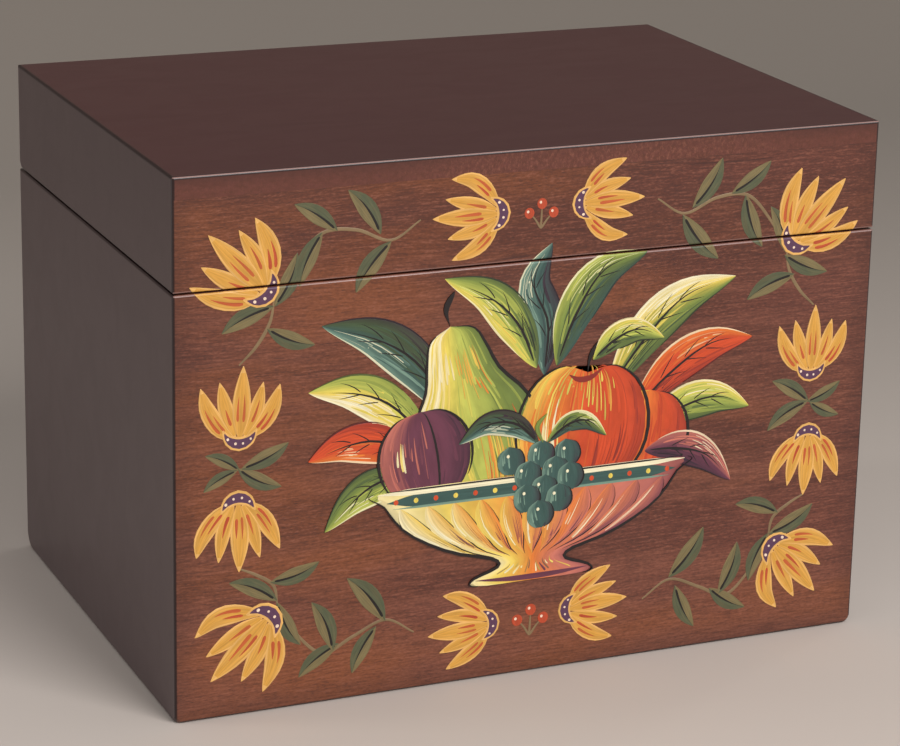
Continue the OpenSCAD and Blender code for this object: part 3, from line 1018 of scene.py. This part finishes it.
def border_leaf(paint, seed):
    """A two-tone leaf with a dark rib, its foot at the origin and its tip up, LEAF_DRAWN long."""
    work = Painting(seed, lift=1, step=0.003)
    bend = work.hand.uniform(0.5, 1.5)
    form = LeafForm([(0, 0), (bend, 5), (bend * 1.1, 10), (0, LEAF_DRAWN)], leaf_width(2.5, 0.5))
    olive, green = tuple(paint.olive), tuple(paint.green)
    for side, tone, other in ((-0.5, olive, green), (0.5, green, olive)):
        work.shape(
            lambda t, s, side=side: form.at(t, s * 0.5 + side),
            lambda t, s, tone=tone, other=other: mixed(tone, other, work.hand.uniform(0, 0.3)),
            along=14)
    work.stroke(lambda t: form.axis(0.08 + 0.74 * t), comma_width(0.36, 0.05), tuple(paint.ink))
    return work


def berry_sprig(paint, seed):
    """Three red berries on short stalks, foot at the origin."""
    work = Painting(seed, lift=1, step=0.003)
    for x, z in ((-3.2, 4.2), (0.2, 6.4), (3.4, 4.0)):
        work.stroke([(0, 0), (x * 0.5, z * 0.6), (x, z)], comma_width(0.3), paint.vine)
        work.dot((x, z), 1.4, tuple(paint.red))
        work.dot((x - 0.4, z + 0.4), 0.36, paint.pale)
    return work


def scatter_kinds(marks, motif, seed, size, name):
    """Lays three kinds of a motif in turn on the marks of both halves."""
    paint = bpy.context.scene.card_box_paint
    spread = both_halves(marks, random.Random(seed))
    kinds = 3
    for k in range(kinds):
        scatter(spread[k::kinds], motif(paint, paint.seed + k), size, f"{name}_{k + 1}")


# Bowl of fruit, in millimetres on the front face

# Outlines of the right half of each form: distance from the axis, height above the foot
PEAR = [(0, 0), (8, 0.6), (14, 5), (16, 13), (13.6, 21.5), (9, 28.5), (7.2, 34.5), (5.2, 39.5), (0, 41.5)]
APPLE = [(0, 0.8), (5, 0), (11.5, 2.5), (15.6, 9), (15.8, 17), (12.5, 24), (6.5, 27.6), (0, 26.2)]
ROUND = [(0, 0), (5.2, 0.9), (9, 4.6), (10.4, 10), (9, 15.4), (5.2, 19.1), (0, 20)]
BOWL = [(0, 0), (14, 0.1), (14.6, 1.9), (8.6, 4.2), (10, 6.4), (20.5, 9.4), (31, 15.2), (36.6, 22),
        (38, 25.6), (0, 25.9)]
GRAPE = [(0, 0), (1.9, 0.4), (3.2, 1.9), (3.4, 3.6), (2.6, 5.6), (0, 6.8)]

# Middles of the grapes, from the back to the front
GRAPES = [(-5.6, 52.6), (8.4, 53), (1.2, 53.4), (5, 49.2), (-2.2, 48.8), (9.4, 47.4), (2.2, 45),
          (-1.4, 43.2), (6.2, 42.4), (2.2, 39)]

# Leaves behind the fruit: points along the axis, half width, and the colours across it
SPRAY = [
    ([(2, 72), (2, 84), (-1, 94), (3, 103)], 4.6, ("sea", "teal", "night")),
    ([(0, 74), (-5, 84), (-12, 92), (-23, 97)], 4.8, ("lemon", "lime", "grass", "forest")),
    ([(5, 74), (9, 86), (16, 95), (27, 99)], 5.0, ("lime", "grass", "forest", "teal")),
    ([(18, 66), (27, 79), (37, 87), (50, 91)], 5.4, ("cream", "lemon", "grass", "forest")),
    ([(-20, 64), (-29, 77), (-39, 85), (-52, 89)], 5.4, ("sea", "teal", "forest", "night")),
    ([(24, 60), (34, 70), (44, 75), (55, 76)], 5.0, ("orange", "flame", "flame", "maroon")),
    ([(-25, 58), (-35, 68), (-44, 73), (-55, 74)], 5.0, ("cream", "lemon", "lime", "grass")),
    ([(27, 55), (37, 61), (46, 62), (55, 59)], 4.6, ("lemon", "lime", "grass", "forest")),
    ([(-27, 54), (-37, 60), (-46, 61), (-55, 58)], 4.8, ("orange", "flame", "flame", "maroon")),
    ([(28, 51), (37, 51), (44, 48), (51, 41)], 4.2, ("rose", "plum", "night")),
    ([(-28, 51), (-37, 51), (-44, 48), (-51, 41)], 4.2, ("lime", "grass", "forest")),
]


def tones(*names):
    """Colours of the fruit by name."""
    colours = bpy.context.scene.card_box_fruit
    return [tuple(getattr(colours, name)) for name in names]


def spray_leaf(work, axis, widest, names):
    """A long leaf in streaks of colour, with a pale edge on one side and dark marks."""
    hand = work.hand
    ink, cream = tones("ink", "cream")
    colours = tones(*names)
    form = LeafForm(axis, leaf_width(widest, 0.46))

    def shade(t, s):
        return 0.5 + 0.42 * s + 0.22 * (0.5 - t)
    work.shape(form.at, lambda t, s: ramp(colours, shade(t, s)), along=22, across=10)
    streaks = 22
    for k in range(streaks):
        s = -0.88 + 1.76 * (k + hand.random()) / streaks
        start = hand.uniform(0.02, 0.5)
        end = min(start + hand.uniform(0.25, 0.5), 0.97)
        tone = ramp(colours, shade((start + end) / 2, s) + hand.uniform(-0.3, 0.3))
        work.along_form(form, drifting(s * 0.75, s * 0.25), start, end,
                        comma_width(hand.uniform(0.16, 0.42)), tone)
    work.dry_brush(form, (0.1, 0.8), 0.03, 0.5, [colours[-1], ink], 8, 0.6, 0.12)
    work.dry_brush(form, (-0.8, -0.2), 0.35, 0.96, [colours[0], cream], 6, 0.6, 0.12)
    work.along_form(form, lambda t: 0.12 * math.sin(5 * t), 0.05, 0.86, leaf_width(0.32, 0.3), ink, 16)
    for side in (-1, 1):
        for start in (0.25, 0.45, 0.62):
            work.along_form(form, drifting(0.05 * side, 0.55 * side), start, start + 0.17,
                            comma_width(0.15), ink, 7)
    work.rim_line(form, -0.97, 0.12, 0.98, 0.26, mixed(cream, colours[0], 0.3))
    work.rim_line(form, 0.99, 0.35, 0.99, 0.2, mixed(ink, colours[-1], 0.4))


def fruit(work, form, names, strokes, lit=0.2, reach=1.0):
    """A fruit: a shaded ground and fine strokes that follow its roundness."""
    hand = work.hand
    colours = tones(*names)

    def shade(t, s):
        return 0.5 + 0.42 * s + lit * (0.5 - t)
    work.shape(form.at, lambda t, s: ramp(colours, shade(t, s)), along=26, across=14)
    for k in range(strokes):
        s = hand.uniform(-0.93, 0.93)
        start = hand.uniform(0.04, 0.66)
        end = min(start + hand.uniform(0.14, 0.36), 0.96)
        tone = ramp(colours, shade((start + end) / 2, s) + hand.uniform(-0.16, 0.16))
        work.along_form(form, drifting(s, hand.uniform(-0.07, 0.07)), start, end,
                        comma_width(hand.uniform(0.18, 0.55) * reach), tone)


def gleam(work, form, across, start, end, hairs=5, hair=0.3):
    """A highlight of short cream strokes."""
    work.dry_brush(form, across, start, end, tones("cream", "lemon"), hairs, 0.35, hair)


def ink_rims(work, form, lines):
    """Dark lines along a form's rim, each given by its side, start, end and thickness."""
    for side, start, end, thick in lines:
        work.rim_line(form, side, start, end, thick, *tones("ink"))


def fruit_in_bowl(work):
    """The fruit, from the back to the front."""
    ink, maroon = tones("ink", "maroon")

    orange = TurnedForm((26, 43.5), ROUND, lean=8, size=1.12)
    fruit(work, orange, ("lemon", "orange", "flame", "maroon"), 34)
    gleam(work, orange, (-0.6, -0.3), 0.35, 0.72)
    ink_rims(work, orange, [(1, 0.15, 0.95, 0.4), (-1, 0.55, 0.9, 0.3)])

    pear = TurnedForm((-11, 44), PEAR, lean=-14, size=1.04)
    fruit(work, pear, ("cream", "lemon", "lime", "grass", "forest"), 70)
    work.dry_brush(pear, (0.05, 0.75), 0.12, 0.5, tones("orange", "lemon", "flame"), 26, 0.5, 0.22)
    work.dry_brush(pear, (-0.1, 0.6), 0.5, 0.8, tones("lemon", "orange"), 12, 0.6, 0.16)
    gleam(work, pear, (-0.62, -0.36), 0.24, 0.55, 7)
    gleam(work, pear, (-0.5, -0.2), 0.62, 0.84, 4, 0.22)
    ink_rims(work, pear, [(1, 0.3, 0.97, 0.42), (-1, 0.42, 0.92, 0.34), (-1, 0.12, 0.38, 0.36)])
    work.stroke([(-21.6, 86), (-22.6, 90), (-20.6, 94)], leaf_width(0.75, 0.65), ink)

    apple = TurnedForm((11, 44.5), APPLE, lean=4, size=1.04)
    fruit(work, apple, ("lemon", "orange", "flame", "flame", "maroon"), 70)
    work.dry_brush(apple, (-0.75, 0.5), 0.5, 0.9, tones("lemon", "lime", "orange"), 26, 0.6, 0.2)
    work.dry_brush(apple, (0.2, 0.9), 0.1, 0.55, tones("maroon", "flame"), 18, 0.6, 0.2)
    gleam(work, apple, (-0.62, -0.38), 0.3, 0.66, 7)
    ink_rims(work, apple, [(1, 0.2, 0.92, 0.44), (-1, 0.3, 0.88, 0.36)])
    work.stroke([(8, 71.6), (10.5, 70.2), (13.6, 70.4), (16.5, 72.4)], leaf_width(0.75, 0.5), maroon)
    work.stroke([(12.6, 70.6), (13.4, 75.6), (16.4, 79.4)], leaf_width(0.7, 0.7), ink)
    spray_leaf(work, [(14, 74.5), (19, 79), (25, 80.5), (32, 78)], 3.2,
               ("lemon", "lime", "grass", "forest"))

    plum = TurnedForm((-25, 45), ROUND, lean=-10, size=1.1)
    fruit(work, plum, ("rose", "plum", "plum", "night"), 34)
    work.dry_brush(plum, (-0.7, 0.1), 0.3, 0.8, tones("rose", "plum"), 10, 0.5, 0.2)
    gleam(work, plum, (-0.6, -0.42), 0.4, 0.68, 3)
    ink_rims(work, plum, [(0.25, 0.08, 0.93, 0.3), (1, 0.3, 0.95, 0.36), (-1, 0.3, 0.9, 0.36)])


def bowl_flutes(work, form, number):
    """Flutes that fan out from the bowl's stem, each with a light and a dark side."""
    ink, plum, cream = tones("ink", "plum", "cream")
    for k in range(number):
        middle = 0.91 * (2 * k / (number - 1) - 1)
        light = ramp(tones("cream", "lemon", "orange", "rose"), 0.5 + 0.5 * middle)
        dark = ramp(tones("lemon", "orange", "rose", "plum"), 0.5 + 0.5 * middle)
        flute = FormPatch(form, 0.43, 0.765, middle, leaf_width(0.1, 0.62))
        work.shape(flute.at, lambda t, s, a=light, b=dark: mixed(a, b, 0.5 + 0.5 * s), along=16)
        work.dry_brush(flute, (0.1, 0.8), 0.1, 0.85, [dark, plum], 5, 0.5, 0.13)
        work.dry_brush(flute, (-0.7, -0.3), 0.3, 0.95, [cream, light], 3, 0.4, 0.16)
        work.rim_line(flute, 1, 0.05, 0.97, 0.16, ink, 12)


def bowl(work):
    """The footed bowl: its flutes, a banded rim with dots and a foot."""
    ink, teal, sea, cream, plum, flame, lemon = tones(
        "ink", "teal", "sea", "cream", "plum", "flame", "lemon")
    form = TurnedForm((0, 23), BOWL)
    fruit(work, form, ("cream", "lemon", "orange", "rose", "plum"), 0, lit=0)
    bowl_flutes(work, form, 11)

    def hoop(height, half_width, blunt, tint):
        reach = 0.96
        work.stroke(lambda t: form.at(height, reach * (2 * t - 1)), band_width(half_width, blunt), tint,
                    along=30)
    band_height, dots = 0.80, 15
    hoop(band_height, 1.5, 12, teal)
    hoop(0.766, 0.3, 12, sea)
    for k in range(dots):
        spot = form.at(band_height, 0.9 * (2 * k / (dots - 1) - 1))
        work.dot(spot, 0.62, lemon if k % 2 else flame)
    hoop(0.865, 0.8, 10, cream)
    hoop(0.888, 0.22, 10, ink)
    work.stroke([(-14.2, 24.5), (-5, 23.9), (5, 23.9), (14.2, 24.5)], leaf_width(0.7, 0.5), plum,
                along=20)
    work.dry_brush(form, (-0.7, 0.7), 0.2, 0.42, [cream, lemon, plum], 16, 0.5, 0.2)
    for side in (-1, 1):
        work.rim_line(form, side, 0.1, 0.88, 0.42, ink, 30)


def grapes(work):
    """Grapes that hang over the bowl's rim, with leaves of their own."""
    ink, sea, cream, grass = tones("ink", "sea", "cream", "grass")
    spray_leaf(work, [(1, 56), (-5, 61), (-12, 62), (-19, 58)], 3.0, ("sea", "teal", "forest", "night"))
    spray_leaf(work, [(3, 56), (8, 60), (13, 60), (18, 56)], 2.3, ("lime", "grass", "forest", "teal"))
    for x, z in GRAPES:
        grape = TurnedForm((x, z - GRAPE[-1][1] / 2), GRAPE, work.hand.uniform(-12, 12))
        fruit(work, grape, ("sea", "teal", "teal", "night"), 7, reach=0.8)
        work.dry_brush(grape, (-0.7, -0.1), 0.35, 0.8, [sea], 3, 0.4, 0.16)
        work.dot((x - 1.1, z + 1.1), 0.4, cream)
        work.rim_line(grape, 1, 0.1, 0.85, 0.24, ink, 12)
    work.stroke([(2, 56), (0.4, 60), (2.8, 63)], leaf_width(0.6, 0.5), grass)


def leaf_spray(work):
    """The leaves behind the bowl, from the back to the front."""
    for axis, widest, names in SPRAY:
        spray_leaf(work, axis, widest, names)


# Stage

def backdrop_material():
    """Matt paper, pale near the box and darker behind it, seen only from its upper or front side so
    that it never hides the box."""
    stage = bpy.context.scene.card_box_stage
    material, w, shader = new_material("stage_paper")
    x, y, z = w.split(object_mm(w))
    level = w.plus(w.times(x, -math.sin(stage.azimuth)), w.times(y, math.cos(stage.azimuth)))
    away = w.larger(w.plus(level, z), 0.0)
    fade = 250.0
    # Painted shade: the paper darkens with distance behind the box, standing in for the light's fall-off.
    share = w.minus(1.0, w.math("EXPONENT", w.math("DIVIDE", away, -fade)))
    from_behind = w.node("ShaderNodeNewGeometry").outputs["Backfacing"]
    feed(w, shader, Base_Color=w.mix(share, stage.floor_near, stage.floor_far), Roughness=0.9,
         Alpha=w.minus(1.0, from_behind))
    return material


def sweep_of_paper():
    """One sheet that runs over the floor and curves up into the wall behind, just under the foot."""
    half, front, bend, radius, top = 1.6, -1.4, 0.42, 0.30, 0.80
    steps = 16
    under = 0.02 * MM
    profile = [(front, 0.0), (bend, 0.0)]
    for k in range(1, steps + 1):
        angle = math.pi / 2 * k / steps
        profile.append((bend + radius * math.sin(angle), radius - radius * math.cos(angle)))
    profile.append((bend + radius, top))
    verts = [(x, y, z - under) for y, z in profile for x in (-half, half)]
    faces = [(2 * k, 2 * k + 1, 2 * k + 3, 2 * k + 2) for k in range(len(profile) - 1)]
    mesh = bpy.data.meshes.new("stage_paper")
    mesh.from_pydata(verts, [], faces)
    for face in mesh.polygons:
        face.use_smooth = True
    return mesh


def face_box(holder, aim, azimuth, elevation, distance, roll=0.0):
    """Links a camera or a lamp, sets it at a distance from a point and turns it to look there."""
    bpy.context.scene.collection.objects.link(holder)
    out = Vector((math.sin(azimuth) * math.cos(elevation), -math.cos(azimuth) * math.cos(elevation),
                  math.sin(elevation)))
    holder.location = Vector(aim) + out * distance
    holder.rotation_mode = "QUATERNION"
    level = out.to_track_quat("Z", "Y")
    holder.rotation_quaternion = Matrix.Rotation(roll, 3, out).to_quaternion() @ level


def softbox(name, azimuth, elevation, distance, size, power):
    """A square lamp that faces the box. The angles are in degrees, the distances in metres."""
    lamp = bpy.data.lights.new(name, "AREA")
    lamp.shape = "SQUARE"
    lamp.size = size
    lamp.energy = power
    middle = (0, 0, 0.06)
    face_box(bpy.data.objects.new(name, lamp), middle, math.radians(azimuth), math.radians(elevation),
             distance)


class CARDBOX_OT_stage(bpy.types.Operator):
    """Set up the camera, the lamps and the sheet of paper that the box stands on"""
    bl_idname = "cardbox.stage"
    bl_label = "Stage"

    def execute(self, context):
        stage = context.scene.card_box_stage
        camera = bpy.data.objects.new("camera", bpy.data.cameras.new("camera"))
        camera.data.sensor_width = 36
        camera.data.lens = stage.lens
        camera.data.shift_x = stage.shift_x
        camera.data.shift_y = stage.shift_y
        camera.data.clip_start = 0.01
        camera.data.clip_end = 20
        face_box(camera, (stage.aim_x, 0, stage.aim_z), stage.azimuth, stage.elevation,
                 stage.distance, stage.roll)
        context.scene.camera = camera

        paper = bpy.data.objects.new("stage_paper", sweep_of_paper())
        context.scene.collection.objects.link(paper)
        paper.data.materials.append(finish("stage_paper", backdrop_material))

        softbox("key", azimuth=20, elevation=35, distance=2.6, size=1.3, power=stage.key_power)
        softbox("side", azimuth=-108, elevation=6, distance=2.6, size=0.6, power=stage.side_power)
        softbox("back", azimuth=118, elevation=8, distance=1.6, size=0.36, power=stage.back_power)
        world = bpy.data.worlds.new("studio")
        context.scene.world = world
        world.use_nodes = True
        light = world.node_tree.nodes["Background"]
        light.inputs["Color"].default_value = (1, 1, 1, 1)
        light.inputs["Strength"].default_value = stage.fill
        context.scene.view_settings.view_transform = "Standard"
        return {"FINISHED"}


# Finishes on the frame's own pieces

def give(nodes, material):
    """Puts one material on the named nodes."""
    for name in nodes:
        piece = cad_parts[name]
        piece.data.materials.clear()
        piece.data.materials.append(material)


class CARDBOX_OT_stained_wood(bpy.types.Operator):
    """Stain and varnish the walls, the rails and the top board"""
    bl_idname = "cardbox.stained_wood"
    bl_label = "Stained wood"

    def execute(self, context):
        wood = context.scene.card_box_wood
        give(["front_wall", "lid_front_rail"], finish("stained_front", front_stain))
        # The three dark tones below are lit and shaded copies of one stain, painted light for each face.
        give(["left_wall", "right_wall", "lid_left_rail", "lid_right_rail"],
             finish("stained_sides", dark_stain, "stained_sides", "y", tuple(wood.side)))
        give(["back_wall", "lid_back_rail"],
             finish("stained_back", dark_stain, "stained_back", "x", tuple(wood.back)))
        give(["lid_top_board"],
             finish("stained_top", dark_stain, "stained_top", "flat", tuple(wood.top), True))
        return {"FINISHED"}


class CARDBOX_OT_plywood(bpy.types.Operator):
    """Give the bottom panel and the splines their plywood"""
    bl_idname = "cardbox.plywood"
    bl_label = "Plywood"

    def execute(self, context):
        splines = [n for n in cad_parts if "_spline_" in n]
        give(["bottom_panel", *splines], finish("bare_plywood", plywood))
        return {"FINISHED"}


class CARDBOX_OT_brass(bpy.types.Operator):
    """Give the hinges and their screws their brass"""
    bl_idname = "cardbox.brass"
    bl_label = "Brass"

    def execute(self, context):
        give([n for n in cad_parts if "_hinge_" in n], finish("aged_brass", brass))
        return {"FINISHED"}


# Painted pieces

class CARDBOX_OT_stalks(bpy.types.Operator):
    """Paint the border's stalks"""
    bl_idname = "cardbox.stalks"
    bl_label = "Border stalks"

    def execute(self, context):
        paint = context.scene.card_box_paint
        steps = 40
        verts, edges = [], []
        for side in (1, -1):
            for path in map(path_through, STALKS):
                edges += [(len(verts) + k, len(verts) + k + 1) for k in range(steps)]
                for x, z in (path(k / steps) for k in range(steps + 1)):
                    verts.append((side * x * MM, 0, z * MM))
        line = bpy.data.meshes.new("stalk_lines")
        line.from_pydata(verts, edges, [])
        made = run_tree(line, stalk_sweep(), {
            "Width": paint.vine_width, "Flatness": 2 * paint.coat / paint.vine_width,
            "Tint": (*paint.vine, 1)})
        lay_on_front(made, "painted_stalks")
        return {"FINISHED"}


class CARDBOX_OT_lilies(bpy.types.Operator):
    """Paint the border's golden lilies"""
    bl_idname = "cardbox.lilies"
    bl_label = "Border lilies"

    def execute(self, context):
        paint = context.scene.card_box_paint
        scatter_kinds(LILIES, lily, paint.seed, paint.lily_height / (LILY_DRAWN * MM), "painted_lilies")
        return {"FINISHED"}


class CARDBOX_OT_leaves(bpy.types.Operator):
    """Paint the border's two-tone leaves"""
    bl_idname = "cardbox.leaves"
    bl_label = "Border leaves"

    def execute(self, context):
        paint = context.scene.card_box_paint
        scatter_kinds(LEAVES, border_leaf, paint.seed + 1, paint.leaf_length / (LEAF_DRAWN * MM),
                      "painted_leaves")
        return {"FINISHED"}


class CARDBOX_OT_berries(bpy.types.Operator):
    """Paint the border's berries"""
    bl_idname = "cardbox.berries"
    bl_label = "Border berries"

    def execute(self, context):
        paint = context.scene.card_box_paint
        scatter(SPRIGS, berry_sprig(paint, paint.seed), 1.0, "painted_berries")
        return {"FINISHED"}


class CARDBOX_OT_leaf_spray(bpy.types.Operator):
    """Paint the leaves behind the bowl of fruit"""
    bl_idname = "cardbox.leaf_spray"
    bl_label = "Leaf spray"

    def execute(self, context):
        work = Painting(context.scene.card_box_paint.seed, lift=0, step=0.0004)
        leaf_spray(work)
        lay_on_front(work.to_mesh("spray"), "painted_spray")
        return {"FINISHED"}


class CARDBOX_OT_fruit_bowl(bpy.types.Operator):
    """Paint the bowl and its fruit"""
    bl_idname = "cardbox.fruit_bowl"
    bl_label = "Bowl of fruit"

    def execute(self, context):
        work = Painting(context.scene.card_box_paint.seed, lift=5, step=0.0004)
        fruit_in_bowl(work)
        bowl(work)
        grapes(work)
        lay_on_front(work.to_mesh("fruit_bowl"), "painted_fruit_bowl")
        return {"FINISHED"}


OPERATORS = (CARDBOX_OT_stage, CARDBOX_OT_stained_wood, CARDBOX_OT_plywood, CARDBOX_OT_brass,
             CARDBOX_OT_stalks, CARDBOX_OT_lilies, CARDBOX_OT_leaves, CARDBOX_OT_berries,
             CARDBOX_OT_leaf_spray, CARDBOX_OT_fruit_bowl)


class CARDBOX_PT_panel(bpy.types.Panel):
    """Steps that finish the box, in order"""
    bl_idname = "CARDBOX_PT_panel"
    bl_label = "Card Box"
    bl_space_type = "VIEW_3D"
    bl_region_type = "UI"
    bl_category = "Card Box"

    def draw(self, context):
        for name, group in GROUPS.items():
            box = self.layout.box()
            for key in group.__annotations__:
                box.prop(getattr(context.scene, name), key)
        for operator in OPERATORS:
            self.layout.operator(operator.bl_idname)


def register():
    for group in GROUPS.values():
        bpy.utils.register_class(group)
    for name, group in GROUPS.items():
        setattr(bpy.types.Scene, name, PointerProperty(type=group))
    for kind in (*OPERATORS, CARDBOX_PT_panel):
        bpy.utils.register_class(kind)


def unregister():
    for kind in reversed((*OPERATORS, CARDBOX_PT_panel)):
        bpy.utils.unregister_class(kind)
    for name, group in GROUPS.items():
        delattr(bpy.types.Scene, name)
        bpy.utils.unregister_class(group)


def main():
    """Dresses the box."""
    register()
    for operator in OPERATORS:
        family, name = operator.bl_idname.split(".")
        getattr(getattr(bpy.ops, family), name)()


if __name__ == "__main__":
    main()
